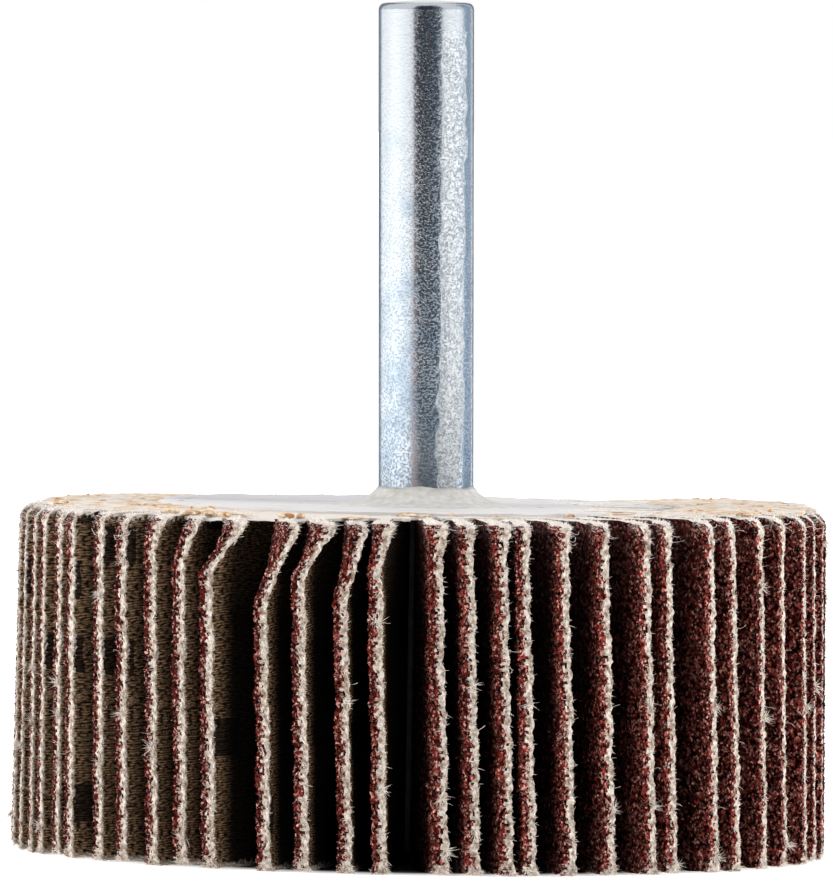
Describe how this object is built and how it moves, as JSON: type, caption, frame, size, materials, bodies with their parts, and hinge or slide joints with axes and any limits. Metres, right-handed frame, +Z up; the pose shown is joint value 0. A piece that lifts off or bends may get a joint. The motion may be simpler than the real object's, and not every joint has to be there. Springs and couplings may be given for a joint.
{
  "type": "mounted flap wheel",
  "caption": "Small mounted flap wheel: strips of abrasive cloth stand round a resin core on a round steel shank, under a card disc.",
  "frame": {"origin": "middle of the underside of the wheel, at the plane of the flaps' lower edges", "axes": "+Z up, along the shank's free end; -Y is the front of the pictured view, +X its right side"},
  "size_m": [0.051, 0.051, 0.0535],
  "materials": {
    "shank": "zinc plated, bright with fine mottling",
    "resin": "cast epoxy resin, slightly translucent",
    "cover_card": "thin coated card, matt",
    "abrasive_cloth": "brown aluminium oxide grain in resin on cotton cloth with frayed edges"
  },
  "bodies": {
    "root": {"shank": "shank", "resin_core": "resin", "cover_disc": "cover_card", "flap_01": "abrasive_cloth", "flap_02": "abrasive_cloth", "flap_03": "abrasive_cloth", "flap_04": "abrasive_cloth", "flap_05": "abrasive_cloth", "flap_06": "abrasive_cloth", "flap_07": "abrasive_cloth", "flap_08": "abrasive_cloth", "flap_09": "abrasive_cloth", "flap_10": "abrasive_cloth", "flap_11": "abrasive_cloth", "flap_12": "abrasive_cloth", "flap_13": "abrasive_cloth", "flap_14": "abrasive_cloth", "flap_15": "abrasive_cloth", "flap_16": "abrasive_cloth", "flap_17": "abrasive_cloth", "flap_18": "abrasive_cloth", "flap_19": "abrasive_cloth", "flap_20": "abrasive_cloth", "flap_21": "abrasive_cloth", "flap_22": "abrasive_cloth", "flap_23": "abrasive_cloth", "flap_24": "abrasive_cloth", "flap_25": "abrasive_cloth", "flap_26": "abrasive_cloth", "flap_27": "abrasive_cloth", "flap_28": "abrasive_cloth", "flap_29": "abrasive_cloth", "flap_30": "abrasive_cloth", "flap_31": "abrasive_cloth", "flap_32": "abrasive_cloth", "flap_33": "abrasive_cloth", "flap_34": "abrasive_cloth", "flap_35": "abrasive_cloth", "flap_36": "abrasive_cloth", "flap_37": "abrasive_cloth", "flap_38": "abrasive_cloth", "flap_39": "abrasive_cloth", "flap_40": "abrasive_cloth", "flap_41": "abrasive_cloth", "flap_42": "abrasive_cloth", "flap_43": "abrasive_cloth", "flap_44": "abrasive_cloth", "flap_45": "abrasive_cloth", "flap_46": "abrasive_cloth", "flap_47": "abrasive_cloth", "flap_48": "abrasive_cloth", "flap_49": "abrasive_cloth", "flap_50": "abrasive_cloth", "flap_51": "abrasive_cloth", "flap_52": "abrasive_cloth", "flap_53": "abrasive_cloth", "flap_54": "abrasive_cloth", "flap_55": "abrasive_cloth", "flap_56": "abrasive_cloth", "flap_57": "abrasive_cloth"}
  },
  "joints": []
}
